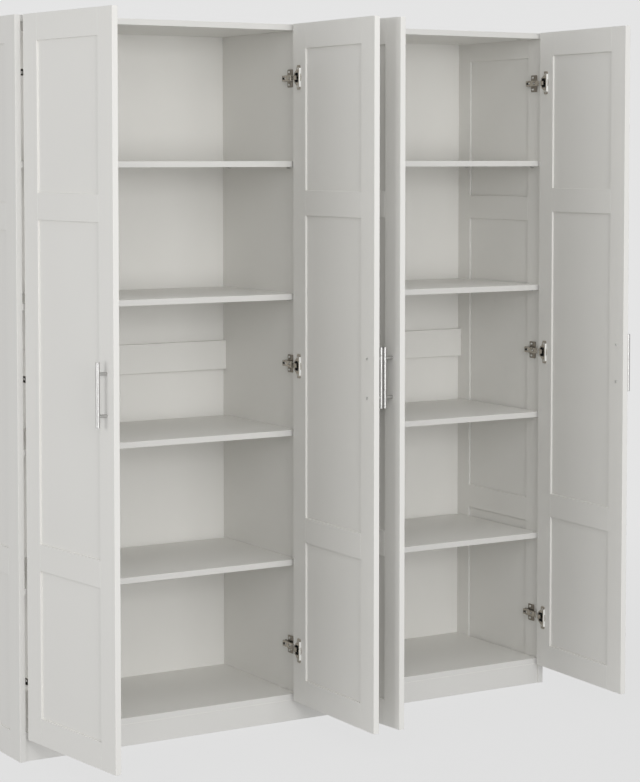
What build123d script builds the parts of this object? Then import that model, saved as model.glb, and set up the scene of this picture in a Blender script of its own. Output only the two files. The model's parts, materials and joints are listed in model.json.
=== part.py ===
from build123d import *
import os
from math import cos, radians, sin

# A tall pantry cabinet with two bays and four framed doors, all standing open.
# X runs along the front, left to right, Y from the front to the back and Z up.
# The origin is on the floor, in the middle of the carcass's footprint.

# Carcass
WIDTH = 1575.0
HEIGHT = 1800.0
DEPTH = 400.0
BOARD = 15.0
BACK_BOARD = 3.0
BACK_INSET = 2.0
PLINTH_HEIGHT = 55.0
FRONT_SETBACK = 4.0
SHELF_TOPS = (422.5, 759.5, 1111.0, 1451.5)
BACK_RAIL_LOW = 886.0
BACK_RAIL_HEIGHT = 78.0
ARRIS = 0.5
BACK_ARRIS = 0.3

# Frame-and-panel work, shared by the doors and the two outer sides
PANEL = 5.0
GROOVE = 8.0
PLAY = 0.4
STILE = 62.0
SIDE_RAILS = ((0.0, 66.0), (448.0, 514.0), (1286.0, 1352.0), (1734.0, 1800.0))

# Doors
DOOR_LOW = 57.0
DOOR_HEIGHT = HEIGHT - DOOR_LOW
DOOR_WIDTH = 391.25
DOOR_RAILS = ((0.0, 64.0), (421.0, 485.0), (1257.0, 1321.0), (1679.0, 1743.0))
FACE_GAP = 2.5

# Concealed hinges. The nose is where the arm ends inside the cup of a closed door,
# measured from the door's hinge edge and from its outer face.
HINGE_HEIGHTS = (193.5, 928.5, 1663.5)
CUP_RADIUS = 17.5
CUP_DEPTH = 11.5
CUP_WALL = 1.0
CUP_LIP = 1.0
LIP_THICK = 1.2
CUP_FROM_EDGE = 22.5
FLANGE_THICK = 2.0
FLANGE_HALF = [(-10.0, 14.0), (-1.0, 21.0), (0.0, 29.0), (2.0, 31.0), (13.0, 31.0), (15.5, 28.5)]
RIM_HEIGHT = 48.0
RIM_WIDTH = 3.5
RIM_THICK = 5.0
MOUTH_HEIGHT = 25.0
MOUTH_FROM_EDGE = 6.5
MOUTH_END = 34.5
MOUTH_CORNER = 5.0
FLANGE_SCREWS = 22.5
FLANGE_SCREWS_BEHIND = 8.2
LINK_THICK = 1.6
LINK_HEIGHT = 11.0
LINK_START = 4.4
LINK_END = 19.0
LINK_REACH = 7.0
LINK_NOTCH = 0.4
NOSE_IN_DOOR = (33.0, 6.5)
PLATE_FROM_FRONT = 37.0
PLATE_THICK = 2.0
PLATE_LENGTH = 40.0
PLATE_BEHIND = 4.0
PLATE_HEIGHT = 16.0
WING_LENGTH = 26.0
WING_HEIGHT = 46.0
WING_AHEAD = 4.0
WING_CORNER = 3.0
WING_SCREWS = 16.0
SADDLE_LENGTH = 34.0
SADDLE_HEIGHT = 12.0
SADDLE_THICK = 3.0
ARM_HEIGHT = 15.0
ARM_TOP = 11.0
ARM_BACK = 60.0
# The arm in plan: heights over its deck or its nose, and distances behind the front
ARM_DECK = [(-1.0, 60.0), (0.0, 57.0), (1.0, 13.0)]
ARM_NECK = [(-1.0, 1.5), (-3.6, -1.0)]
ARM_THROAT = (-2.0, 9.0)
ARM_SEAT_END = 14.0
# and the rounded nose, in steps from its middle
ARM_NOSE = [(1.2, 1.0), (0.4, -1.2), (-1.1, -0.6)]

# Handles
BAR_RADIUS = 5.0
BAR_LENGTH = 150.0
BAR_CHAMFER = 0.6
POST_RADIUS = 4.0
POST_SPACING = 96.0
BAR_STANDOFF = 23.5
HANDLE_HEIGHT = 925.0
HANDLE_FROM_EDGE = 31.0

# Small fasteners
PIN_RADIUS = 2.5
PIN_OUT = 9.0
PIN_IN = 7.0
PIN_FROM_FRONT = 37.0
PIN_FROM_BACK = 50.0
CAM_RADIUS = 7.5
CAM_THICK = 11.0
CAM_FROM_SIDE = 34.0
CAM_FROM_MIDDLE = 140.0
SCREW_RADIUS = 2.0
SCREW_HEAD = 3.6
SCREW_HEAD_THICK = 1.6
SCREW_IN = 7.0
POST_THREAD = 9.0
FIT = 0.05

# Places worked out from the sizes above
FRONT = -DEPTH / 2
BACK = DEPTH / 2
SIDE_IN = WIDTH / 2 - BOARD
BOTTOM_TOP = PLINTH_HEIGHT + BOARD
TOP_UNDER = HEIGHT - BOARD
BACK_FACE = BACK - BACK_INSET - BACK_BOARD
PIN_ROWS = (FRONT + PIN_FROM_FRONT, BACK - PIN_FROM_BACK)
CAM_POINTS = [
    (x, y)
    for x in (CAM_FROM_SIDE - SIDE_IN, SIDE_IN - CAM_FROM_SIDE)
    for y in (-CAM_FROM_MIDDLE, CAM_FROM_MIDDLE)
]

# How a closed door covers the panel it hangs on, measured from that panel's far
# front corner: the door's outer hinge corner, then the axis that it turns about.
FULL_OVERLAY = ((1.0, -BOARD - FACE_GAP), (10.5, -23.5))
HALF_OVERLAY = ((8.5, -BOARD - FACE_GAP), (16.5, -21.5))

# Each door's panel corner, the hand it is hung on (+1 at its left edge, -1 at its
# right), its overlay and the angle that it stands open at.
DOORS = {
    "door_1": (-WIDTH / 2, 1, FULL_OVERLAY, 83.5),
    "door_2": (BOARD / 2, -1, HALF_OVERLAY, 89.3),
    "door_3": (-BOARD / 2, 1, HALF_OVERLAY, 85.5),
    "door_4": (WIDTH / 2, -1, FULL_OVERLAY, 87.0),
}

os.makedirs("parts", exist_ok=True)


def save(piece, name):
    """Label a finished piece and write it as one STEP file."""
    piece.part.label = name
    export_step(piece.part, f"parts/{name}.step")


def leave_whole():
    """The work on a board that has no holes."""


def board(name, low, high, eased=ARRIS, work=leave_whole):
    """A plain board between two corners, its arrises eased and its holes drilled."""
    size = [b - a for a, b in zip(low, high)]
    middle = tuple((a + b) / 2 for a, b in zip(low, high))
    with BuildPart() as piece:
        with Locations(middle):
            Box(*size)
        chamfer(piece.edges(), length=eased)
        work()
    save(piece, name)


def drill(plane, points, radius, depth):
    """Cut round holes from a plane into the material behind it."""
    with BuildSketch(plane) as mouths:
        with Locations(*points):
            Circle(radius)
    extrude(mouths.sketch, amount=-depth, mode=Mode.SUBTRACT)


def panel_outlines(groove, openings, middle_x, clear, play):
    """The panels' outlines with their tongues, less the play in the grooves."""
    with BuildSketch(groove) as outlines:
        for low, high in openings:
            with Locations((middle_x, (low + high) / 2)):
                Rectangle(clear + 2 * GROOVE - play, high - low + 2 * GROOVE - play)
    return outlines.sketch


def framed_leaf(name, face, hand, width, height, rails, work=leave_whole):
    """The stiles, rails and panels of one leaf, behind the plane of its outer face.

    The plane's Y is up and its Z outwards. The leaf grows from the plane's origin
    towards +X where hand is 1, and towards -X where it is -1.
    """
    middle_x = hand * width / 2
    clear = width - 2 * STILE
    inside = face.offset(-BOARD)
    groove = face.offset(-(BOARD + PANEL) / 2)
    openings = [(low[1], high[0]) for low, high in zip(rails, rails[1:])]
    seats = panel_outlines(groove, openings, middle_x, clear, 0)

    with BuildPart() as stiles:
        with BuildSketch(inside):
            for from_edge in (STILE / 2, width - STILE / 2):
                with Locations((hand * from_edge, height / 2)):
                    Rectangle(STILE, height)
        extrude(amount=BOARD)
        chamfer(stiles.edges(), length=ARRIS)
        extrude(seats, amount=PANEL, mode=Mode.SUBTRACT)
        work()
    save(stiles, f"{name}_stiles")

    with BuildPart() as cross_rails:
        with BuildSketch(inside):
            for low, high in rails:
                with Locations((middle_x, (low + high) / 2)):
                    Rectangle(clear, high - low)
        extrude(amount=BOARD)
        chamfer(cross_rails.edges(), length=ARRIS)
        extrude(seats, amount=PANEL, mode=Mode.SUBTRACT)
    save(cross_rails, f"{name}_rails")

    with BuildPart() as panels:
        extrude(panel_outlines(groove, openings, middle_x, clear, PLAY), amount=PANEL)
    save(panels, f"{name}_panels")


# Where things meet the inner faces of the upright panels
def upright_face(x, hand):
    """The plane of an upright panel's inner face, its X to the back of the cabinet."""
    return Plane(origin=(x, 0, 0), x_dir=(0, 1, 0), z_dir=(hand, 0, 0))


def drill_upright(x, hand):
    """Drill one upright face for its shelf pins and its hinges' plate screws."""
    face = upright_face(x, hand)
    pins = [(y, hand * (top - BOARD - PIN_RADIUS)) for y in PIN_ROWS for top in SHELF_TOPS]
    screws = [
        (FRONT + PLATE_FROM_FRONT, hand * (height + wing))
        for height in HINGE_HEIGHTS
        for wing in (-WING_SCREWS, WING_SCREWS)
    ]
    drill(face, pins, PIN_RADIUS, PIN_IN)
    drill(face, screws, SCREW_RADIUS, SCREW_IN)


UPRIGHTS = ((-SIDE_IN, 1), (-BOARD / 2, -1), (BOARD / 2, 1), (SIDE_IN, -1))


# Carcass boards
def drill_partition():
    """Drill both faces of the partition."""
    drill_upright(-BOARD / 2, -1)
    drill_upright(BOARD / 2, 1)


def bore_cams(under):
    """Cut the cams' seats into the underside of a board."""
    seat = Plane(origin=(0, 0, under), z_dir=(0, 0, -1))
    drill(seat, CAM_POINTS, CAM_RADIUS, CAM_THICK)


board(
    "centre_partition",
    (-BOARD / 2, FRONT, BOTTOM_TOP),
    (BOARD / 2, BACK_FACE, TOP_UNDER),
    work=drill_partition,
)
board(
    "top_panel",
    (-SIDE_IN, FRONT + FRONT_SETBACK, TOP_UNDER),
    (SIDE_IN, BACK_FACE, HEIGHT),
    work=lambda: bore_cams(TOP_UNDER),
)
board(
    "bottom_panel",
    (-SIDE_IN, FRONT + FRONT_SETBACK, PLINTH_HEIGHT),
    (SIDE_IN, BACK_FACE, BOTTOM_TOP),
    work=lambda: bore_cams(PLINTH_HEIGHT),
)
board(
    "front_plinth",
    (-SIDE_IN, FRONT + FRONT_SETBACK, 0),
    (SIDE_IN, FRONT + FRONT_SETBACK + BOARD, PLINTH_HEIGHT),
)
board(
    "centre_foot",
    (-BOARD / 2, FRONT + FRONT_SETBACK + BOARD, 0),
    (BOARD / 2, BACK_FACE, PLINTH_HEIGHT),
)

for bay, low_x, high_x in (("left", -SIDE_IN, -BOARD / 2), ("right", BOARD / 2, SIDE_IN)):
    for number, top in enumerate(SHELF_TOPS, start=1):
        board(
            f"shelf_{bay}_{number}",
            (low_x, FRONT, top - BOARD),
            (high_x, BACK_FACE - BOARD, top),
        )
    board(
        f"back_rail_{bay}",
        (low_x, BACK_FACE - BOARD, BACK_RAIL_LOW),
        (high_x, BACK_FACE, BACK_RAIL_LOW + BACK_RAIL_HEIGHT),
    )

for bay, low_x, high_x in (("left", -SIDE_IN, 0), ("right", 0, SIDE_IN)):
    board(
        f"back_panel_{bay}",
        (low_x, BACK_FACE, PLINTH_HEIGHT),
        (high_x, BACK_FACE + BACK_BOARD, HEIGHT),
        eased=BACK_ARRIS,
    )

for bay, sign in (("left", -1), ("right", 1)):
    framed_leaf(
        f"{bay}_side",
        Plane(origin=(sign * WIDTH / 2, FRONT, 0), x_dir=(0, sign, 0), z_dir=(sign, 0, 0)),
        sign,
        DEPTH,
        HEIGHT,
        SIDE_RAILS,
        work=lambda: drill_upright(sign * SIDE_IN, -sign),
    )

# Shelf pins and cams
with BuildPart() as shelf_pins:
    for x, hand in UPRIGHTS:
        with BuildSketch(upright_face(x, hand).offset(-PIN_IN)):
            for y in PIN_ROWS:
                for top in SHELF_TOPS:
                    with Locations((y, hand * (top - BOARD - PIN_RADIUS))):
                        Circle(PIN_RADIUS)
        extrude(amount=PIN_IN + PIN_OUT)
save(shelf_pins, "shelf_pins")

with BuildPart() as cam_locks:
    for under in (TOP_UNDER, PLINTH_HEIGHT):
        with BuildSketch(Plane.XY.offset(under)):
            with Locations(*CAM_POINTS):
                Circle(CAM_RADIUS - FIT)
        extrude(amount=CAM_THICK)
        with BuildSketch(Plane.XY.offset(under)):
            with Locations(*CAM_POINTS):
                Rectangle(CAM_RADIUS, SCREW_HEAD_THICK)
                Rectangle(SCREW_HEAD_THICK, CAM_RADIUS)
        extrude(amount=SCREW_RADIUS, mode=Mode.SUBTRACT)
save(cam_locks, "cam_locks")


# Hinges on the uprights
def hinge_plane(door, height, above=0.0):
    """The plane on an upright's inner face at one hinge's mounting plate."""
    corner_x, hand = DOORS[door][:2]
    x = corner_x + hand * (BOARD + above)
    return Plane(origin=(x, FRONT + PLATE_FROM_FRONT, height), x_dir=(0, 1, 0), z_dir=(hand, 0, 0))


def arm_outline(door):
    """The arm's outline in plan, from the panel's far front corner, for a left hand."""
    corner = DOORS[door][2][0]
    nose_x = corner[0] + NOSE_IN_DOOR[0]
    nose_y = corner[1] + NOSE_IN_DOOR[1]
    under = BOARD + PLATE_THICK + SADDLE_THICK
    top = BOARD + ARM_TOP
    deck = [(top + up, back) for up, back in ARM_DECK]
    nose = [(nose_x + out, nose_y + back) for out, back in ARM_NOSE]
    neck, chin = [(nose_x + out, back) for out, back in ARM_NECK]
    throat = (top + ARM_THROAT[0], ARM_THROAT[1])
    return [(under, ARM_BACK), *deck, neck, *nose, chin, throat, (under, ARM_SEAT_END)]


HINGES = [(door, height) for door in DOORS for height in HINGE_HEIGHTS]

with BuildPart() as hinge_plates:
    for door, height in HINGES:
        with BuildSketch(hinge_plane(door, height)):
            with Locations((PLATE_BEHIND, 0)):
                RectangleRounded(PLATE_LENGTH, PLATE_HEIGHT, 2)
            with Locations((-WING_AHEAD, 0)):
                RectangleRounded(WING_LENGTH, WING_HEIGHT, WING_CORNER)
            with Locations((0, -WING_SCREWS), (0, WING_SCREWS)):
                Circle(SCREW_RADIUS + FIT, mode=Mode.SUBTRACT)
        extrude(amount=PLATE_THICK)
        with BuildSketch(hinge_plane(door, height, PLATE_THICK)):
            with Locations((PLATE_BEHIND, 0)):
                Rectangle(SADDLE_LENGTH, SADDLE_HEIGHT)
        extrude(amount=SADDLE_THICK)
save(hinge_plates, "hinge_plates")

with BuildPart() as hinge_plate_screws:
    for door, height in HINGES:
        wings = [(0, -WING_SCREWS), (0, WING_SCREWS)]
        with BuildSketch(hinge_plane(door, height, -SCREW_IN)):
            with Locations(*wings):
                Circle(SCREW_RADIUS)
        extrude(amount=SCREW_IN + PLATE_THICK)
        with BuildSketch(hinge_plane(door, height, PLATE_THICK)):
            with Locations(*wings):
                Circle(SCREW_HEAD)
        extrude(amount=SCREW_HEAD_THICK)
save(hinge_plate_screws, "hinge_plate_screws")

with BuildPart() as hinge_arms:
    for door, height in HINGES:
        corner_x, hand = DOORS[door][:2]
        with BuildSketch(Plane.XY.offset(height - ARM_HEIGHT / 2)):
            with BuildLine():
                Polyline(
                    *[(corner_x + hand * x, FRONT + y) for x, y in arm_outline(door)],
                    close=True,
                )
            make_face()
        extrude(amount=ARM_HEIGHT)
save(hinge_arms, "hinge_arms")


# Doors
def door_plan(door):
    """The plan of an open door: origin at its outer hinge corner, Y to its inside."""
    corner_x, hand, (corner, axis), angle = DOORS[door]
    turn = -hand * radians(angle)
    reach_x = hand * (corner[0] - axis[0])
    reach_y = corner[1] - axis[1]
    x = corner_x + hand * axis[0] + reach_x * cos(turn) - reach_y * sin(turn)
    y = FRONT + axis[1] + reach_x * sin(turn) + reach_y * cos(turn)
    return Plane(origin=(x, y, 0), x_dir=(cos(turn), sin(turn), 0), z_dir=(0, 0, 1))


def build_door(door):
    """Write the eight nodes of one door, standing at its open angle."""
    hand = DOORS[door][1]
    plan = door_plan(door)
    foot = plan.origin + Vector(0, 0, DOOR_LOW)
    outer = Plane(origin=foot, x_dir=plan.x_dir, z_dir=-plan.y_dir)
    inner = outer.offset(-BOARD)
    into_door = Plane(origin=inner.origin, x_dir=-plan.x_dir, z_dir=plan.y_dir)
    cup_x = hand * CUP_FROM_EDGE
    cups = [(cup_x, height - DOOR_LOW) for height in HINGE_HEIGHTS]
    mouths = [(hand * (MOUTH_FROM_EDGE + MOUTH_END) / 2, z) for x, z in cups]
    notches = [(hand * MOUTH_FROM_EDGE / 2, z) for x, z in cups]
    rims = [(hand * (MOUTH_END + RIM_WIDTH / 2), z) for x, z in cups]
    flange_screws = [
        (x + hand * FLANGE_SCREWS_BEHIND, z + way)
        for x, z in cups
        for way in (-FLANGE_SCREWS, FLANGE_SCREWS)
    ]
    flange_outline = FLANGE_HALF + [(u, -v) for u, v in reversed(FLANGE_HALF)]
    post_x = hand * (DOOR_WIDTH - HANDLE_FROM_EDGE)
    post_z = HANDLE_HEIGHT - DOOR_LOW
    posts = [(post_x, post_z - POST_SPACING / 2), (post_x, post_z + POST_SPACING / 2)]

    def seen_from_inside(points):
        return [(-x, z) for x, z in points]

    def bore_stiles():
        drill(into_door, seen_from_inside(cups), CUP_RADIUS, CUP_DEPTH)
        drill(into_door, seen_from_inside(flange_screws), SCREW_RADIUS, SCREW_IN)
        drill(into_door, seen_from_inside(posts), SCREW_RADIUS, BOARD)

    framed_leaf(door, outer, hand, DOOR_WIDTH, DOOR_HEIGHT, DOOR_RAILS, work=bore_stiles)

    flange_top = into_door.offset(FLANGE_THICK)
    with BuildPart() as hinge_cups:
        with BuildSketch(into_door.offset(-CUP_DEPTH)):
            with Locations(*seen_from_inside(cups)):
                Circle(CUP_RADIUS - FIT)
        extrude(amount=CUP_DEPTH)
        with BuildSketch(into_door):
            with Locations(*seen_from_inside(cups)):
                Circle(CUP_RADIUS + CUP_LIP)
        extrude(amount=LIP_THICK)
        for x, z in seen_from_inside(cups):
            with BuildSketch(into_door):
                with BuildLine():
                    Polyline(*[(x - hand * u, z + v) for u, v in flange_outline], close=True)
                make_face()
            extrude(amount=FLANGE_THICK)
        with BuildSketch(into_door):
            with Locations(*seen_from_inside(rims)):
                Rectangle(RIM_WIDTH, RIM_HEIGHT)
        extrude(amount=RIM_THICK)
        drill(into_door, seen_from_inside(cups), CUP_RADIUS - CUP_WALL, CUP_DEPTH - CUP_WALL)
        drill(flange_top, seen_from_inside(flange_screws), SCREW_RADIUS + FIT, FLANGE_THICK)
        with BuildSketch(flange_top):
            with Locations(*seen_from_inside(mouths)):
                RectangleRounded(MOUTH_END - MOUTH_FROM_EDGE, MOUTH_HEIGHT, MOUTH_CORNER)
            with Locations(*seen_from_inside(notches)):
                Rectangle(MOUTH_FROM_EDGE + MOUTH_CORNER * 2, LINK_HEIGHT + 2 * LINK_NOTCH)
        extrude(amount=-FLANGE_THICK, mode=Mode.SUBTRACT)
    save(hinge_cups, f"{door}_hinge_cups")

    with BuildPart() as hinge_links:
        for height in HINGE_HEIGHTS:
            low = Plane(
                origin=plan.origin + Vector(0, 0, height - LINK_HEIGHT / 2),
                x_dir=plan.x_dir,
                z_dir=(0, 0, 1),
            )
            with BuildSketch(low):
                with BuildLine():
                    Polyline(
                        (hand * LINK_START, BOARD),
                        (hand * (LINK_END - LINK_THICK), BOARD),
                        (hand * (LINK_END - LINK_THICK), BOARD - LINK_REACH),
                        (hand * LINK_END, BOARD - LINK_REACH),
                        (hand * LINK_END, BOARD + LINK_THICK),
                        (hand * LINK_START, BOARD + LINK_THICK),
                        close=True,
                    )
                make_face()
            extrude(amount=LINK_HEIGHT)
    save(hinge_links, f"{door}_hinge_links")

    with BuildPart() as fixing_screws:
        with BuildSketch(into_door.offset(-SCREW_IN)):
            with Locations(*seen_from_inside(flange_screws)):
                Circle(SCREW_RADIUS)
        extrude(amount=SCREW_IN + FLANGE_THICK)
        with BuildSketch(flange_top):
            with Locations(*seen_from_inside(flange_screws)):
                Circle(SCREW_HEAD)
        extrude(amount=SCREW_HEAD_THICK)
        with BuildSketch(into_door.offset(-BOARD - POST_THREAD)):
            with Locations(*seen_from_inside(posts)):
                Circle(SCREW_RADIUS)
        extrude(amount=BOARD + POST_THREAD)
        with BuildSketch(into_door):
            with Locations(*seen_from_inside(posts)):
                Circle(SCREW_HEAD)
        extrude(amount=SCREW_HEAD_THICK)
    save(fixing_screws, f"{door}_fixing_screws")

    bar_low = Plane(
        origin=plan.from_local_coords(
            (post_x, -BAR_STANDOFF, HANDLE_HEIGHT - BAR_LENGTH / 2)
        ),
        z_dir=(0, 0, 1),
    )
    with BuildPart() as handle_bar:
        with BuildSketch(bar_low):
            Circle(BAR_RADIUS)
        extrude(amount=BAR_LENGTH)
        chamfer(handle_bar.edges().filter_by(GeomType.CIRCLE), length=BAR_CHAMFER)
    save(handle_bar, f"{door}_handle_bar")

    with BuildPart() as handle_posts:
        with BuildSketch(outer):
            with Locations(*posts):
                Circle(POST_RADIUS)
                Circle(SCREW_RADIUS, mode=Mode.SUBTRACT)
        extrude(amount=POST_THREAD)
        with BuildSketch(outer.offset(POST_THREAD)):
            with Locations(*posts):
                Circle(POST_RADIUS)
        extrude(amount=BAR_STANDOFF - POST_THREAD)
        with BuildSketch(bar_low):
            Circle(BAR_RADIUS)
        extrude(amount=BAR_LENGTH, mode=Mode.SUBTRACT)
    save(handle_posts, f"{door}_handle_posts")


for door in DOORS:
    build_door(door)
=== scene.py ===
# %% [markdown]
# # A tall pantry cabinet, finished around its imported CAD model
# The cabinet is flat-pack storage furniture: boards with a matte off-white film, four
# framed doors on concealed hinges, and brushed bar handles. The boards, doors and
# hinges come from the CAD model at their true sizes, so this lesson adds what CAD
# leaves out: finishes, pressed hinge arms, cross-headed screws, the hinge cups' black
# inserts and the pinned back. A piece's place is read from the frame, and only the small
# measures within a piece are typed in.

# %% Load the frame
import json
import math

import bmesh
import bpy
from mathutils import Matrix, Vector


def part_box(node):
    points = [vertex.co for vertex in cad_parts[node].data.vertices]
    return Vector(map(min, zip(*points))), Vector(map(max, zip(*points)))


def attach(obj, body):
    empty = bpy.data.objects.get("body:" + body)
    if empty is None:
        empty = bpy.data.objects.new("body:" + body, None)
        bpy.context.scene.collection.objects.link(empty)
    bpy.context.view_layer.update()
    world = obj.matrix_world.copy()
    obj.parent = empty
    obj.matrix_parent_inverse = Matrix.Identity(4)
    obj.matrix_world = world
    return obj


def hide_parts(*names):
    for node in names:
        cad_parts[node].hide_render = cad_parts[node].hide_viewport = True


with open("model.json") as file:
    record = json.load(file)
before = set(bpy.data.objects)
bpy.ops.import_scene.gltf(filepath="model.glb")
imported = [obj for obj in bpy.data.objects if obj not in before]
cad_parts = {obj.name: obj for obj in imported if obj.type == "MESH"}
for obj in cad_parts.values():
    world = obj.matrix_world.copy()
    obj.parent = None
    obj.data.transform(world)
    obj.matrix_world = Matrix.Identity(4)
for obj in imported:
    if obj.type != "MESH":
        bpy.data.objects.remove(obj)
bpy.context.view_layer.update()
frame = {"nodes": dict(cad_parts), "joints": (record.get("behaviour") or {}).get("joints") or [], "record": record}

# %% [markdown]
# ## Measures that the pieces share
# The carcass's front plane, top and right edge come from the two outer sides. A
# millimetre is named once, because hinge and screw details are easier to read in
# millimetres. Points closer than WELD are one point.

# %% Shared measures
MM = 0.001
WELD = 1e-6
side_low, side_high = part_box("left_side_stiles")
FRONT_Y = side_low.y
TOP_Z = side_high.z
RIGHT_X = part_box("right_side_stiles")[1].x
DOORS = [body for body in frame["record"]["behaviour"]["bodies"] if body != "root"]
print("doors:", DOORS)

# %% [markdown]
# ## Shader maths as Python
# A procedural finish is arithmetic on noise. Wiring Math nodes by hand hides that
# arithmetic, so this class wraps a socket and lets Python's own operators add the nodes.
# `node` makes any other node from its type, its settings and its sockets' values.


# %% The shader maths class
class Wire:
    """One output socket that can be added, multiplied and fed into other nodes."""

    def __init__(self, tree, socket):
        self.tree = tree
        self.socket = socket

    def _join(self, operation, left, right):
        maths = self.tree.nodes.new("ShaderNodeMath")
        maths.operation = operation
        for slot, value in zip(maths.inputs, (left, right)):
            if isinstance(value, Wire):
                self.tree.links.new(value.socket, slot)
            else:
                slot.default_value = value
        return Wire(self.tree, maths.outputs[0])

    def __add__(self, other):
        return self._join("ADD", self, other)

    __radd__ = __add__

    def __mul__(self, other):
        return self._join("MULTIPLY", self, other)

    __rmul__ = __mul__

    def __sub__(self, other):
        return self._join("SUBTRACT", self, other)

    def __rsub__(self, other):
        return self._join("SUBTRACT", other, self)

    def above(self, other):
        """1 where this is greater than the other, and 0 elsewhere."""
        return self._join("GREATER_THAN", self, other)


class Finish:
    """A material in the making: its tree, its Principled shader and its nodes."""

    def __init__(self, name, **constants):
        self.material = bpy.data.materials.new(name)
        self.material.use_nodes = True
        self.tree = self.material.node_tree
        self.shader = self.tree.nodes["Principled BSDF"]
        for socket, value in constants.items():
            self.shader.inputs[socket.replace("_", " ")].default_value = value
        self.places = self.node("ShaderNodeTexCoord", {}, {}, "Object")
        print("finish:", name)

    def node(self, kind, settings, values, output=0):
        """Any node: settings first, then its sockets' values or wires."""
        made = self.tree.nodes.new(kind)
        for name, value in settings.items():
            setattr(made, name, value)
        for name, value in values.items():
            if isinstance(value, Wire):
                self.tree.links.new(value.socket, made.inputs[name])
            else:
                made.inputs[name].default_value = value
        return Wire(self.tree, made.outputs[output])

    def stretched(self, scale):
        """The object's own coordinates, stretched differently along each axis."""
        return self.node("ShaderNodeMapping", {}, {"Vector": self.places, "Scale": scale})

    def noise(self, scale, detail=2.0, roughness=0.5, where=None):
        """Noise around 0.5, at a scale in cycles per metre."""
        values = {"Scale": scale, "Detail": detail, "Roughness": roughness}
        values["Vector"] = where or self.places
        return self.node("ShaderNodeTexNoise", {}, values, "Fac")

    def blend(self, factor, first, second):
        """A colour between two colours."""
        return self.node(
            "ShaderNodeMix",
            {"data_type": "RGBA"},
            {0: factor, 6: first, 7: second},
            2,
        )

    def feed(self, socket, wire):
        """Drive one of the shader's sockets with a wire."""
        self.tree.links.new(wire.socket, self.shader.inputs[socket])

    def bump(self, height, distance, strength=1.0):
        """Turn a height in 0 to 1 into small relief of the given depth in metres."""
        values = {"Height": height, "Distance": distance, "Strength": strength}
        self.feed("Normal", self.node("ShaderNodeBump", {}, values, "Normal"))


# %% [markdown]
# ## The boards' off-white film
# Melamine film looks flat from afar, but close up it has a fine pressed pore, a slight
# cloudiness and a sheen that wanders a little. Three noises of very different sizes
# give those, and each one only changes its surface by a few percent. The edge bands on
# the boards' front edges are smoother, and their colour is painted shade: a tone a touch
# darker than the film, which sets how bright the lit fronts look. A mask finds the faces
# that look forwards in the object's own axes, which stays right when a door turns.

# %% Board film
FILM_LIGHT = (0.815, 0.807, 0.778, 1)
FILM_SHADE = (0.775, 0.766, 0.736, 1)
# The edge strips' colour is painted shade: a tone darker than the film, which sets how bright the lit fronts look.
BAND_PAINTED_SHADE = (0.7, 0.693, 0.67, 1)


def board_film(name, with_band_shade):
    """Off-white film on fibreboard; boards with edge strips get smoother front edges in painted shade."""
    film = Finish(name, Specular_IOR_Level=0.42)
    clouds = film.noise(3.2, 3.0)
    pores = film.noise(900, 2.0, 0.6)
    specks = film.noise(260, 1.0)
    colour = film.blend(clouds * 0.7 + specks * 0.3, FILM_SHADE, FILM_LIGHT)
    rough = 0.46 + clouds * 0.1 + pores * 0.06
    height = pores * 0.6 + specks * 0.4
    if with_band_shade:
        normal = film.node("ShaderNodeTexCoord", {}, {}, "Normal")
        facing = film.node("ShaderNodeSeparateXYZ", {}, {"Vector": normal}, "Y")
        # Faces looking forwards get the smoother edge strip, coloured in painted shade.
        band_shade_mask = (facing * -1).above(0.9)
        colour = film.blend(band_shade_mask, colour, BAND_PAINTED_SHADE)
        rough = rough - band_shade_mask * 0.08
        height = height * (1 - band_shade_mask * 0.7)
    film.feed("Base Color", colour)
    film.feed("Roughness", rough)
    film.bump(height, 0.00006, 0.5)
    return film.material


CARCASS_FILM = board_film("carcass_film", True)
DOOR_FILM = board_film("door_film", False)

# %% [markdown]
# ## The thin back boards
# The backs are 3 mm hardboard. Their inner face is lacquered to match the carcass, and
# the outer face, which stands against a wall, is left as bare pressed fibre. Which face
# is which comes from the normal again. Long noise along one axis makes the fibres.

# %% Back board
FIBRE_DARK = (0.29, 0.215, 0.145, 1)
FIBRE_PALE = (0.43, 0.335, 0.235, 1)


def back_board():
    """Lacquer inside, bare fibre outside."""
    back = Finish("back_board", Specular_IOR_Level=0.35)
    normal = back.node("ShaderNodeTexCoord", {}, {}, "Normal")
    outside = back.node("ShaderNodeSeparateXYZ", {}, {"Vector": normal}, "Y").above(0.5)
    clouds = back.noise(4.0, 3.0)
    lacquer = back.blend(clouds, FILM_SHADE, FILM_LIGHT)
    strands = back.noise(420, 3.0, 0.7, back.stretched((1.0, 1.0, 0.35)))
    flecks = back.noise(95, 4.0, 0.7)
    fibre = back.blend(strands * 0.6 + flecks * 0.4, FIBRE_DARK, FIBRE_PALE)
    back.feed("Base Color", back.blend(outside, lacquer, fibre))
    back.feed("Roughness", 0.5 + clouds * 0.06 + outside * (0.2 + strands * 0.15))
    back.bump(strands * (0.2 + outside * 0.8), 0.00012, 0.6)
    return back.material


BACK_BOARD = back_board()

# %% [markdown]
# ## Metals and plastics
# Hinges are pressed steel with nickel over it: warm, smooth, and cloudy where hands
# touch. The plates under the arms get a darker copy of the nickel, painted shade that
# stands in for the shadows and dark outlines around them. The side of the cups' rims
# gets a painted highlight: a near-white finish that is only a quarter metal, so that
# it stays bright from every side.
# Handles are drawn bar, brushed along its length, so their noise is stretched along Z.
# Screws and shelf pins are zinc-plated, cams are dull cast zinc, and the hinge cups hold
# a black insert of moulded plastic.

# %% Metal finishes
BAR_DARK = (0.42, 0.417, 0.408, 1)
BAR_PALE = (0.62, 0.616, 0.604, 1)
BLACK_DEEP = (0.012, 0.012, 0.012, 1)
BLACK_WORN = (0.03, 0.03, 0.03, 1)


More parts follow.
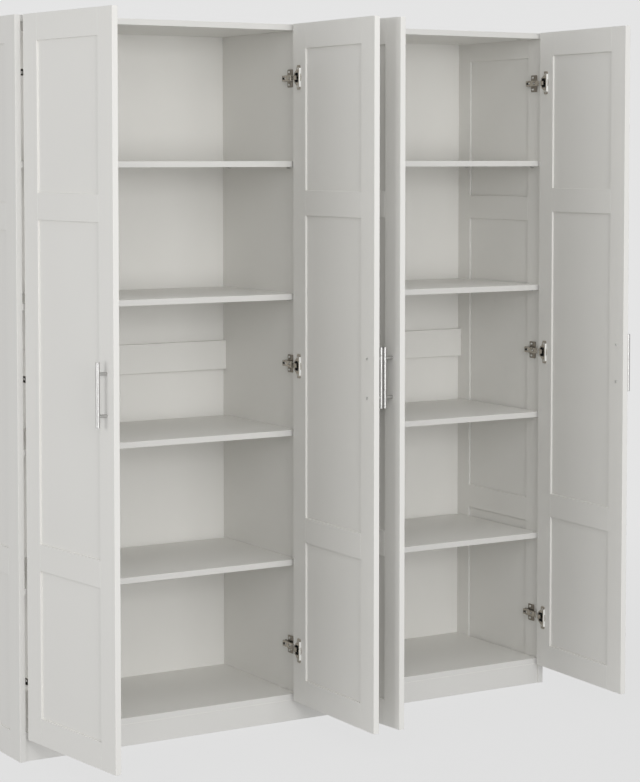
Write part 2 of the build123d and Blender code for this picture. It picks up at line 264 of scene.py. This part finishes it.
def plain_metal(name, dark, pale, rough, spread, grain=600, metallic=1.0):
    """Plated metal: cloudy colour, wandering roughness and a faint grain."""
    metal = Finish(name, Metallic=metallic)
    clouds = metal.noise(90, 3.0)
    fine = metal.noise(grain, 2.0)
    metal.feed("Base Color", metal.blend(clouds, dark, pale))
    metal.feed("Roughness", rough + clouds * spread)
    metal.bump(fine, 0.00003, 0.35)
    return metal.material


def brushed_bar(name):
    """Drawn bar with long hairlines along its length."""
    bar = Finish(name, Metallic=1.0)
    hairs = bar.noise(2600, 3.0, 0.6, bar.stretched((1.0, 1.0, 0.012)))
    clouds = bar.noise(40, 2.0)
    bar.feed("Base Color", bar.blend(hairs, BAR_DARK, BAR_PALE))
    bar.feed("Roughness", 0.24 + hairs * 0.14 + clouds * 0.06)
    bar.bump(hairs, 0.00003, 0.5)
    return bar.material


def moulded_black(name):
    """Black moulded plastic with a fine spark-eroded grain."""
    plastic = Finish(name, Specular_IOR_Level=0.4)
    grain = plastic.noise(2200, 2.0)
    plastic.feed("Base Color", plastic.blend(grain, BLACK_DEEP, BLACK_WORN))
    plastic.feed("Roughness", 0.42 + grain * 0.16)
    plastic.bump(grain, 0.00004, 0.5)
    return plastic.material


NICKEL = plain_metal("nickel", (0.34, 0.31, 0.27, 1), (0.5, 0.465, 0.41, 1), 0.22, 0.12)
# A darker copy of the nickel: painted shade for the shadows and dark outlines around the hinge plates.
SHADED_PLATE_NICKEL = plain_metal(
    "shaded_plate_nickel", (0.2, 0.18, 0.155, 1), (0.34, 0.31, 0.27, 1), 0.25, 0.12
)
# A near-white, barely metal finish: a painted highlight for the bright line on the cups' rims.
RIM_HIGHLIGHT_PAINT = plain_metal(
    "painted_rim_highlight", (0.9, 0.9, 0.88, 1), (0.98, 0.98, 0.96, 1), 0.4, 0.08, metallic=0.25
)
ZINC_PLATE = plain_metal("zinc_plate", (0.52, 0.52, 0.51, 1), (0.68, 0.68, 0.66, 1), 0.28, 0.12)
CAST_ZINC = plain_metal("cast_zinc", (0.36, 0.36, 0.36, 1), (0.5, 0.5, 0.49, 1), 0.46, 0.14, 250)
BRUSHED_BAR = brushed_bar("brushed_bar")
BLACK_PLASTIC = moulded_black("black_plastic")

# %% [markdown]
# ## Give every CAD node its finish
# A CAD node already has the right shape, so it only gets a better material. The name of
# a node says what it is, and the first matching word below decides its finish.

# %% Finish the CAD nodes
FINISH_BY_WORD = (
    ("handle", BRUSHED_BAR),
    ("screws", ZINC_PLATE),
    ("pins", ZINC_PLATE),
    ("cam", CAST_ZINC),
    ("hinge_plates", SHADED_PLATE_NICKEL),
    ("hinge", NICKEL),
    ("back_panel", BACK_BOARD),
    ("back_rail", DOOR_FILM),
    ("door", DOOR_FILM),
    ("", CARCASS_FILM),
)
for name, node in frame["nodes"].items():
    finish = next(material for word, material in FINISH_BY_WORD if word in name)
    node.data.materials.clear()
    node.data.materials.append(finish)
print("finished nodes:", len(frame["nodes"]))

# %% [markdown]
# ## Finding the solids inside a node
# Twelve hinge arms share one node, and so do all the screws. To put a detailed piece on
# each, the node's triangles are welded in a copy and its separate islands are walked,
# which gives every solid's own corners without a typed list of places.


# %% Islands of a node
def islands(node):
    """The points of each separate solid of a CAD node, lowest first."""
    welded = bmesh.new()
    welded.from_mesh(frame["nodes"][node].data)
    bmesh.ops.remove_doubles(welded, verts=welded.verts, dist=WELD)
    found = []
    seen = set()
    for start in welded.verts:
        if start in seen:
            continue
        island, waiting = [], [start]
        seen.add(start)
        while waiting:
            vertex = waiting.pop()
            island.append(vertex.co.copy())
            for edge in vertex.link_edges:
                other = edge.other_vert(vertex)
                if other not in seen:
                    seen.add(other)
                    waiting.append(other)
        found.append(island)
    welded.free()
    return sorted(found, key=lambda island: (round(min(p.z for p in island), 4), island[0].x))


def corners(points):
    """The lowest and highest corner of some points."""
    low = Vector(min(p[i] for p in points) for i in range(3))
    high = Vector(max(p[i] for p in points) for i in range(3))
    return low, high


def merge(whole, part, place):
    """Move one finished part to its place and add it to a larger bmesh."""
    bmesh.ops.transform(part, matrix=place, verts=part.verts)
    carrier = bpy.data.meshes.new("carrier")
    part.to_mesh(carrier)
    part.free()
    whole.from_mesh(carrier)
    bpy.data.meshes.remove(carrier)


def add_piece(name, shape, body, material, replaced=()):
    """Make a finished bmesh into a piece that rides on a body."""
    bmesh.ops.recalc_face_normals(shape, faces=shape.faces)
    mesh = bpy.data.meshes.new(name)
    shape.to_mesh(mesh)
    shape.free()
    mesh.materials.append(material)
    piece = bpy.data.objects.new(name, mesh)
    bpy.context.scene.collection.objects.link(piece)
    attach(piece, body)
    if replaced:
        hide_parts(*replaced)
    print(name, "faces:", len(mesh.polygons))
    return piece


# %% [markdown]
# ## How a door stands
# A door's piece is easiest to make flat, with u along the door from its hinge edge, v
# into the cabinet and z up. The joint says how far the door is open and which way it
# turns, and that gives the three axes as a matrix.


# %% Door axes
def door_axes(door):
    """A matrix whose columns are the open door's u, v and z axes."""
    joint = next(j for j in frame["joints"] if j["child"] == door)
    hand = -joint["axis"][2]
    turn = -hand * math.radians(-joint["range_deg"][0])
    along = Vector((math.cos(turn), math.sin(turn), 0)) * hand
    inwards = Vector((-math.sin(turn), math.cos(turn), 0))
    return Matrix((along, inwards, Vector((0, 0, 1)))).transposed()


for door in DOORS:
    print(door, "u axis:", [round(c, 3) for c in door_axes(door).col[0]])

# %% [markdown]
# ## Cross-headed screws
# The CAD screws are plain discs. A real head is a low dome with a cross recess that
# catches the light. A cross of twelve corners is bridged to the rim's circle, and the
# cross face is pushed down, so the recess is real geometry and not a bump.

# %% Screw head
CROSS_ARM = 0.16
CROSS_REACH = 0.56
HEAD_SEGMENTS = 24
SHANK_SEGMENTS = 16
WALL_SHARE = 0.45
DOME_SHARE = 0.55
DOME_SHRINK = 0.78
RECESS_DEPTH = 0.7
RECESS_SHRINK = 0.6


def cross_head(shape, place, radius, height):
    """Add one domed screw head with a cross recess; its place looks along +Z."""
    rim = bmesh.ops.create_circle(shape, segments=HEAD_SEGMENTS, radius=radius)["verts"]
    rim_edges = [e for e in shape.edges if e.verts[0] in rim and e.verts[1] in rim]
    raised = bmesh.ops.extrude_edge_only(shape, edges=rim_edges)["geom"]
    wall_top = [g for g in raised if isinstance(g, bmesh.types.BMVert)]
    top_edges = [g for g in raised if isinstance(g, bmesh.types.BMEdge)]
    bmesh.ops.translate(shape, verts=wall_top, vec=(0, 0, height * WALL_SHARE))
    domed = bmesh.ops.extrude_edge_only(shape, edges=top_edges)["geom"]
    dome = [g for g in domed if isinstance(g, bmesh.types.BMVert)]
    dome_edges = [g for g in domed if isinstance(g, bmesh.types.BMEdge)]
    bmesh.ops.scale(shape, verts=dome, vec=(DOME_SHRINK, DOME_SHRINK, 1))
    bmesh.ops.translate(shape, verts=dome, vec=(0, 0, height * DOME_SHARE))
    arm, reach = radius * CROSS_ARM, radius * CROSS_REACH
    quarter = [(reach, -arm), (reach, arm), (arm, arm)]
    outline = []
    for turn in range(4):
        c, s = round(math.cos(turn * math.pi / 2)), round(math.sin(turn * math.pi / 2))
        outline += [(x * c - y * s, x * s + y * c) for x, y in quarter]
    cross = [shape.verts.new((x, y, height)) for x, y in outline]
    recess = shape.faces.new(cross)
    bmesh.ops.bridge_loops(shape, edges=dome_edges + list(recess.edges))
    sunk = list(bmesh.ops.extrude_discrete_faces(shape, faces=[recess])["faces"][0].verts)
    bmesh.ops.translate(shape, verts=sunk, vec=(0, 0, -height * RECESS_DEPTH))
    bmesh.ops.scale(shape, verts=sunk, vec=(RECESS_SHRINK, RECESS_SHRINK, 1))
    made = rim + wall_top + dome + cross + sunk
    bmesh.ops.transform(shape, matrix=place, verts=made)


def looking(axis, place):
    """A matrix that turns +Z to an axis and moves to a place."""
    turn = axis.to_track_quat("Z", "Y").to_matrix().to_4x4()
    return Matrix.Translation(place) @ turn


def screw_shank(shape, place, radius, length):
    """Add a plain round shank below the place, with its far end closed."""
    ring = bmesh.ops.create_circle(
        shape, segments=SHANK_SEGMENTS, radius=radius, cap_ends=True
    )["verts"]
    cap = ring[0].link_faces[0]
    far = bmesh.ops.extrude_face_region(shape, geom=[cap])["geom"]
    moved = [g for g in far if isinstance(g, bmesh.types.BMVert)]
    bmesh.ops.translate(shape, verts=moved, vec=(0, 0, -length))
    bmesh.ops.transform(shape, matrix=place, verts=ring + moved)


# %% [markdown]
# ## Screws for the doors and the hinge plates
# Each CAD screw is an island: its head is the wide end, so the head's centre and the
# way it looks are read from the island's points. On a door that direction is the door's
# own v axis, and on an upright it is straight out along X.

# %% Screw heads in place
HEAD_RADIUS = 3.5 * MM
HEAD_HEIGHT = 1.9 * MM
HEAD_SEAT = 1.6 * MM
SHANK_RADIUS = 1.9 * MM
HEAD_BAND = 0.1 * MM


def heads_on(shape, node, outwards_of):
    """A cross head and its shank on every screw of a node."""
    for points in islands(node):
        out = outwards_of(points)
        reach = [p.dot(out) for p in points]
        top = max(reach)
        head = [p for p, r in zip(points, reach) if r > top - HEAD_BAND]
        low, high = corners(head)
        seat = (low + high) / 2 - out * HEAD_SEAT
        place = looking(out, seat)
        cross_head(shape, place, HEAD_RADIUS, HEAD_HEIGHT)
        screw_shank(shape, place, SHANK_RADIUS, top - min(reach) - HEAD_SEAT)


for door in DOORS:
    inwards = door_axes(door).col[1]
    screws = bmesh.new()
    heads_on(screws, f"{door}_fixing_screws", lambda points: inwards)
    add_piece(
        f"{door}_cross_screws", screws, door, ZINC_PLATE, [f"{door}_fixing_screws"]
    )


def out_of_upright(points):
    """The way a plate screw looks: from its thin end to its head, along X."""
    low, high = corners(points)
    wide = max(points, key=lambda p: abs(p.z - (low.z + high.z) / 2))
    return Vector((1 if wide.x > (low.x + high.x) / 2 else -1, 0, 0))


plate_screws = bmesh.new()
heads_on(plate_screws, "hinge_plate_screws", out_of_upright)
add_piece(
    "plate_cross_screws", plate_screws, "root", ZINC_PLATE, ["hinge_plate_screws"]
)

# %% [markdown]
# ## Pressed hinge arms
# A hinge arm is one strip of steel, bent down at both edges into a channel and cranked
# at the front to reach into the cup. So it is made as the maker does it: a flat ribbon
# follows the arm's side view, its middle column loses two windows for the screws, its
# long edges are folded down, and Solidify gives the sheet its thickness.

# %% Arm ribbon
SHEET = 1.1 * MM
SHEET_EASE = 0.35 * MM
COLUMNS = (-7.0, -2.8, 2.8, 7.0)
NECK_COLUMNS = (-6.2, -2.4, 2.4, 6.2)
DECK = 10.6
DECK_ROWS = (
    (-0.6, 59.0),
    (0.0, 57.5),
    (0.0, 53.0),
    (0.0, 44.0),
    (0.1, 38.0),
    (0.3, 31.0),
    (0.5, 26.0),
    (0.8, 16.0),
    (1.1, 8.0),
    (1.3, 1.5),
)
CRANK_BACK = -3.0
NOSE_BACK = -7.5
WINDOW_ROWS = (2, 6)
NECK_START = 9
FOLDED_ROWS = 10
FOLD_DROP = 4.6
FOLD_SPREAD = 0.5


def arm_rows(nose_out, nose_front):
    """The ribbon's side view: (height over the panel, distance behind the front)."""
    deck = [(DECK + rise, back) for rise, back in DECK_ROWS]
    crank = (DECK + (nose_out - DECK) * 0.5, CRANK_BACK)
    return [*deck, crank, (nose_out, NOSE_BACK), (nose_out, nose_front)]


def pressed_arm(shape, panel, hand, nose_out, nose_front):
    """Add one arm. The panel point is on the panel's face at the front plane."""
    grid = []
    for number, (out, back) in enumerate(arm_rows(nose_out, nose_front)):
        columns = COLUMNS if number < NECK_START else NECK_COLUMNS
        places = [panel + Vector((hand * out, back, z)) * MM for z in columns]
        grid.append([shape.verts.new(place) for place in places])
    windows = []
    for number, (first, second) in enumerate(zip(grid, grid[1:])):
        for column in range(3):
            corner = (first[column], first[column + 1], second[column + 1], second[column])
            face = shape.faces.new(corner)
            if column == 1 and number in WINDOW_ROWS:
                windows.append(face)
    bmesh.ops.delete(shape, geom=windows, context="FACES_ONLY")
    for column, outwards in ((0, -1), (3, 1)):
        verts = [line[column] for line in grid[:FOLDED_ROWS]]
        edges = [shape.edges.get(pair) for pair in zip(verts, verts[1:])]
        folded = bmesh.ops.extrude_edge_only(shape, edges=edges)["geom"]
        lip = [g for g in folded if isinstance(g, bmesh.types.BMVert)]
        fold = Vector((-hand * FOLD_DROP, 0, outwards * FOLD_SPREAD)) * MM
        bmesh.ops.translate(shape, verts=lip, vec=fold)


print("rows in an arm's ribbon:", len(DECK_ROWS) + 3)

# %% [markdown]
# ## Blocks with eased edges
# Several small pieces are blocks of plastic. A cube is scaled and bevelled while it
# still sits at the origin, and only then moved, so one helper serves all of them.


# %% Eased block
def eased_block(size, ease):
    """A block at the origin, its size and the ease of its edges in millimetres."""
    made = bmesh.new()
    bmesh.ops.create_cube(made, size=MM)
    bmesh.ops.scale(made, verts=made.verts, vec=size)
    bmesh.ops.bevel(
        made,
        geom=made.edges[:],
        offset=ease * MM,
        segments=2,
        profile=0.5,
        affect="EDGES",
        material=-1,
    )
    return made


# %% [markdown]
# ## The arms in their places
# The CAD arm's island gives the panel's face, the side that the arm looks to, and how
# far its nose reaches. Two screws stand in the deck's windows. A black block lies under
# the deck and shows through the windows. It is a little taller than the arm, so its
# edges peek out above and below it as a dark rim, a dark sheet that stands in for the
# shade around the arm. A short round stub fills the socket near the arm's back end.

# %% Arms, their screws and their insides
ARM_LIFT = 5 * MM
NOSE_TIP = 1.2 * MM
NOSE_SINK = 0.6
NOSE_GAP = 1.0
DECK_SCREWS = ((43.0, 3.3), (23.0, 2.6))
DECK_SEAT = 9.2
DECK_HEAD = 2.2 * MM
DECK_SHANK = 4.5 * MM
DECK_SHANK_SHARE = 0.6
# The block is taller than the arm, so its edges show as a dark rim: painted shade around the arm.
INNER_BLOCK_WITH_SHADE_RIM = Vector((4.4, 34.0, 15.4))
INNER_OUT, INNER_BACK, INNER_EASE = 6.4, 40.0, 0.6
SOCKET_OUT, SOCKET_BACK = 10.2, 53.5
STUB_FOOT, STUB_TOP, STUB_DEPTH = 2.9 * MM, 2.7 * MM, 2.4 * MM

arms = bmesh.new()
screws = bmesh.new()
insides_and_shade_rims = bmesh.new()
for points in islands("hinge_arms"):
    low, high = corners(points)
    back_end = [p for p in points if p.y > high.y - MM]
    hand = 1 if sum(p.x for p in back_end) / len(back_end) < (low.x + high.x) / 2 else -1
    out = Vector((hand, 0, 0))
    panel_x = (low.x if hand > 0 else high.x) - hand * ARM_LIFT
    panel = Vector((panel_x, FRONT_Y, (low.z + high.z) / 2))
    tip = (high.x if hand > 0 else low.x) - hand * NOSE_TIP
    nose_out = abs(tip - panel_x) / MM - NOSE_SINK
    nose_front = (low.y - FRONT_Y) / MM + NOSE_GAP
    pressed_arm(arms, panel, hand, nose_out, nose_front)
    for back, radius in DECK_SCREWS:
        seat = looking(out, panel + Vector((hand * DECK_SEAT, back, 0)) * MM)
        cross_head(screws, seat, radius * MM, DECK_HEAD)
        screw_shank(screws, seat, radius * DECK_SHANK_SHARE * MM, DECK_SHANK)
    inner = panel + Vector((hand * INNER_OUT, INNER_BACK, 0)) * MM
    merge(insides_and_shade_rims, eased_block(INNER_BLOCK_WITH_SHADE_RIM, INNER_EASE), Matrix.Translation(inner))
    stub = bmesh.new()
    bmesh.ops.create_cone(
        stub,
        cap_ends=True,
        segments=HEAD_SEGMENTS,
        radius1=STUB_FOOT,
        radius2=STUB_TOP,
        depth=STUB_DEPTH,
    )
    socket = panel + Vector((hand * SOCKET_OUT, SOCKET_BACK, 0)) * MM
    merge(insides_and_shade_rims, stub, looking(out, socket))
add_piece("arm_inner_blocks_and_shade_rims", insides_and_shade_rims, "root", BLACK_PLASTIC)
arm_piece = add_piece("pressed_hinge_arms", arms, "root", NICKEL, ["hinge_arms"])
sheet = arm_piece.modifiers.new("sheet", "SOLIDIFY")
sheet.thickness = SHEET
sheet.offset = 0
rounded = arm_piece.modifiers.new("rounded", "BEVEL")
rounded.width = SHEET_EASE
rounded.segments = 2
rounded.limit_method = "ANGLE"
add_piece("arm_screws", screws, "root", ZINC_PLATE)

# %% [markdown]
# ## Inserts in the hinge cups
# The cup is a steel pot, and most of what shows in it is the black moulding that guides
# the links. It is a turned shape with two cheeks, so a profile is spun once around the
# cup's axis and two eased blocks are set beside the opening for the links.

# %% Cup inserts
INSERT_STEPS = 40
INSERT_PROFILE = (
    (15.9, -1.2),
    (15.9, -0.4),
    (14.9, -0.2),
    (14.2, -1.4),
    (13.6, -9.2),
    (0.0, -9.6),
)
CHEEK = Vector((15.0, 5.4, 7.6))
CHEEK_EASE = 0.9
CHEEK_ALONG, CHEEK_ASIDE, CHEEK_DEPTH = 0.5, 9.6, -5.4


def cup_insert():
    """One insert: its mouth is at the origin, its Z looks out of the cup, its Y is up."""
    insert = bmesh.new()
    rim = [insert.verts.new(Vector((r, 0, h)) * MM) for r, h in INSERT_PROFILE]
    edges = [insert.edges.new(pair) for pair in zip(rim, rim[1:])]
    bmesh.ops.spin(
        insert,
        geom=rim + edges,
        axis=(0, 0, 1),
        cent=(0, 0, 0),
        steps=INSERT_STEPS,
        angle=math.tau,
        use_merge=True,
    )
    bmesh.ops.remove_doubles(insert, verts=insert.verts, dist=WELD)
    for side in (-1, 1):
        place = Vector((CHEEK_ALONG, side * CHEEK_ASIDE, CHEEK_DEPTH)) * MM
        merge(insert, eased_block(CHEEK, CHEEK_EASE), Matrix.Translation(place))
    return insert


print("points in an insert's profile:", len(INSERT_PROFILE))

# %% [markdown]
# ## Inserts and painted rim highlights in their places
# Each cup's flange has a raised rim, 5 mm thick, and the insert's mouth lies where that
# rim starts. The rim's side catches the light as one bright line, so a thin near-white cap
# covers it as a painted highlight. Both are placed from the cup's island, measured along
# the door's own axes.

# %% Inserts and painted rim highlights
RIM = 5.0 * MM
LIP_TO_CENTRE = 18.5 * MM
LIP_TO_RIM = 3.0 * MM
# Size of the thin cap that carries the painted highlight on the rim's side.
RIM_HIGHLIGHT_CAP = Vector((0.8, 47.6, 4.7))
for door in DOORS:
    axes = door_axes(door)
    along, inwards = axes.col[0], axes.col[1]
    inserts = bmesh.new()
    highlight_caps = bmesh.new()
    for points in islands(f"{door}_hinge_cups"):
        local = [Vector((p.dot(along), p.dot(inwards), p.z)) for p in points]
        low, high = corners(local)
        cup_axes = Matrix((along, Vector((0, 0, 1)), inwards)).transposed().to_4x4()
        mouth = along * (high.x - LIP_TO_CENTRE) + inwards * (high.y - RIM)
        mouth.z = (low.z + high.z) / 2
        merge(inserts, cup_insert(), Matrix.Translation(mouth) @ cup_axes)
        # A thin near-white cap on the rim's side: a painted highlight.
        cap = bmesh.new()
        bmesh.ops.create_cube(cap, size=MM)
        bmesh.ops.scale(cap, verts=cap.verts, vec=RIM_HIGHLIGHT_CAP)
        highlight_place = along * (high.x - LIP_TO_RIM) + inwards * (high.y - RIM / 2)
        highlight_place.z = mouth.z
        merge(highlight_caps, cap, Matrix.Translation(highlight_place) @ cup_axes)
    add_piece(f"{door}_cup_inserts", inserts, door, BLACK_PLASTIC)
    add_piece(f"{door}_rim_highlight_caps", highlight_caps, door, RIM_HIGHLIGHT_PAINT)

# %% [markdown]
# ## The pinned back
# The two backs meet behind the partition. A slim plastic strip covers the seam, and
# small panel pins hold the hardboard about every 12 cm. A pin's head is a small sphere,
# flattened against the board and half sunk in it.

# %% Back strip
STRIP_WIDTH, STRIP_THICK, STRIP_EASE = 22.0, 1.2, 0.4
STRIP_SHORTER = 4.0
back_low, back_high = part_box("back_panel_left")
foot_z = back_low.z
strip_size = Vector((STRIP_WIDTH, STRIP_THICK, (TOP_Z - foot_z) / MM - STRIP_SHORTER))
strip_place = Vector((0, back_high.y + STRIP_THICK / 2 * MM, (TOP_Z + foot_z) / 2))
strip = bmesh.new()
merge(strip, eased_block(strip_size, STRIP_EASE), Matrix.Translation(strip_place))
add_piece("back_seam_strip", strip, "root", DOOR_FILM)

# %% Panel pins
PIN_SPACING = 0.118
PIN_HEAD = 2.2 * MM
PIN_FLATNESS = 0.35
PIN_LIFT = 0.1 * MM
SIDE_INSET = 22 * MM
SEAM_INSET = 16 * MM
END_INSET = 8 * MM
ROW_START = 30 * MM


def pin_places():
    """Places of the panel pins: four upright columns, and a row at the foot and the top."""
    outer = RIGHT_X - SIDE_INSET
    rows = int((TOP_Z - foot_z) / PIN_SPACING)
    places = []
    for column in (-outer, -SEAM_INSET, SEAM_INSET, outer):
        for row in range(rows + 1):
            places.append((column, foot_z + END_INSET + row * PIN_SPACING))
    for level in (foot_z + END_INSET, TOP_Z - END_INSET):
        for step in range(1, int(outer / PIN_SPACING)):
            reach = step * PIN_SPACING + ROW_START
            places += [(-reach, level), (reach, level)]
    return places


pins = bmesh.new()
for x, z in pin_places():
    ball = bmesh.ops.create_uvsphere(pins, u_segments=10, v_segments=6, radius=PIN_HEAD)["verts"]
    bmesh.ops.scale(pins, verts=ball, vec=(1, PIN_FLATNESS, 1))
    bmesh.ops.translate(pins, verts=ball, vec=(x, back_high.y + PIN_LIFT, z))
add_piece("back_pins", pins, "root", ZINC_PLATE)

# %% [markdown]
# ## The studio floor
# The setting is a pale studio. Near the cabinet the floor is nine parts glow and one
# part ordinary shading, so it stays as pale as the backdrop and still keeps a faint
# contact shadow. Farther out it is all glow, which hides the horizon. It is hidden from
# diffuse rays, so its glow doesn't light the cabinet from below.

# %% Studio floor
PAPER = (0.78, 0.78, 0.78, 1)
FLOOR_GREY = (0.6, 0.6, 0.6, 1)
FLOOR_REACH = 40.0
FADE_START, FADE_END = 1.2, 3.2
GLOW_SHARE = 0.9


def studio_floor():
    """A wide disc whose own shading fades out with distance."""
    shape = bmesh.new()
    bmesh.ops.create_circle(shape, segments=64, radius=FLOOR_REACH, cap_ends=True)
    mesh = bpy.data.meshes.new("studio_floor")
    shape.to_mesh(mesh)
    shape.free()
    floor = bpy.data.objects.new("studio_floor", mesh)
    bpy.context.scene.collection.objects.link(floor)
    paper = Finish("studio_paper", Roughness=0.9, Specular_IOR_Level=0.1)
    paper.shader.inputs["Base Color"].default_value = FLOOR_GREY
    glow = paper.node("ShaderNodeEmission", {}, {"Color": PAPER, "Strength": 1.0})
    away = paper.node("ShaderNodeVectorMath", {"operation": "LENGTH"}, {0: paper.places}, "Value")
    span = {"From Min": FADE_START, "From Max": FADE_END, "To Min": GLOW_SHARE, "To Max": 1.0}
    fade = paper.node("ShaderNodeMapRange", {"clamp": True}, {"Value": away, **span})
    shade = Wire(paper.tree, paper.shader.outputs[0])
    mixed = paper.node("ShaderNodeMixShader", {}, {0: fade, 1: shade, 2: glow})
    paper.tree.links.new(mixed.socket, paper.tree.nodes["Material Output"].inputs[0])
    mesh.materials.append(paper.material)
    floor.visible_diffuse = False


studio_floor()

# %% [markdown]
# ## The world's light
# The world is an even white light at less than half strength, which fills the shadows
# inside the cabinet. A light path node swaps it for the paper's colour wherever the
# camera looks straight at it, so the fill can change without changing the backdrop.

# %% World
AMBIENT = 0.43
world = bpy.data.worlds.new("studio_world")
bpy.context.scene.world = world
world.use_nodes = True
nodes, links = world.node_tree.nodes, world.node_tree.links
nodes["Background"].inputs["Color"].default_value = (1, 1, 1, 1)
nodes["Background"].inputs["Strength"].default_value = AMBIENT
backdrop = nodes.new("ShaderNodeBackground")
backdrop.inputs["Color"].default_value = PAPER
seen = nodes.new("ShaderNodeLightPath")
either = nodes.new("ShaderNodeMixShader")
links.new(seen.outputs["Is Camera Ray"], either.inputs[0])
links.new(nodes["Background"].outputs[0], either.inputs[1])
links.new(backdrop.outputs[0], either.inputs[2])
links.new(either.outputs[0], nodes["World Output"].inputs[0])
bpy.context.scene.view_settings.view_transform = "Standard"
print("world strength:", AMBIENT)

# %% [markdown]
# ## Four soft boxes
# The strongest box stands beside the viewer and lights all the fronts evenly. A second,
# higher one shades the undersides, one on the left brightens the outer side, and a weak
# one overhead lifts the shelf tops.

# %% Soft boxes
SOFT_BOXES = (
    ("eye_box", (-0.6, -6.5, 1.5), (0, 0, 0.9), (3.0, 2.4), 122),
    ("high_box", (-2.2, -4.6, 2.8), (0, 0, 0.9), (2.6, 2.2), 46),
    ("left_box", (-5.5, -1.6, 1.5), (-0.3, 0, 0.9), (2.4, 2.4), 62),
    ("top_box", (0, -1.6, 4.4), (0, 0, 0.6), (3.0, 2.0), 20),
)


def soft_box(name, place, aim, size, power):
    """A large soft light at a place, turned to what it lights."""
    light = bpy.data.lights.new(name, "AREA")
    light.shape = "RECTANGLE"
    light.size, light.size_y = size
    light.energy = power
    lamp = bpy.data.objects.new(name, light)
    lamp.location = place
    lamp.rotation_mode = "QUATERNION"
    lamp.rotation_quaternion = (Vector(aim) - Vector(place)).to_track_quat("-Z", "Y")
    bpy.context.scene.collection.objects.link(lamp)


for row in SOFT_BOXES:
    soft_box(*row)
print("soft boxes:", len(SOFT_BOXES))

# %% [markdown]
# ## The camera
# The camera stands at eye level to the left of the cabinet and looks slightly down. Its
# focal length is given as a share of the frame's height, and a small lens shift sets the
# cabinet in the frame without tilting its uprights.

# %% Camera
EYE = Vector((-2.8998, -5.0573, 1.4618))
YAW, PITCH = 31.361, 3.261
FRAME_HEIGHT = 782
FOCAL_LENGTH = 2202.1
SHIFT_UP = -0.1387

camera_data = bpy.data.cameras.new("camera")
camera_data.lens = camera_data.sensor_width * (FOCAL_LENGTH / FRAME_HEIGHT)
camera_data.shift_x = 0.0
camera_data.shift_y = SHIFT_UP
camera = bpy.data.objects.new("camera", camera_data)
camera.location = EYE
camera.rotation_euler = (math.radians(90 - PITCH), 0, -math.radians(YAW))
bpy.context.scene.collection.objects.link(camera)
bpy.context.scene.camera = camera
print("camera lens:", round(camera_data.lens, 1), "mm")
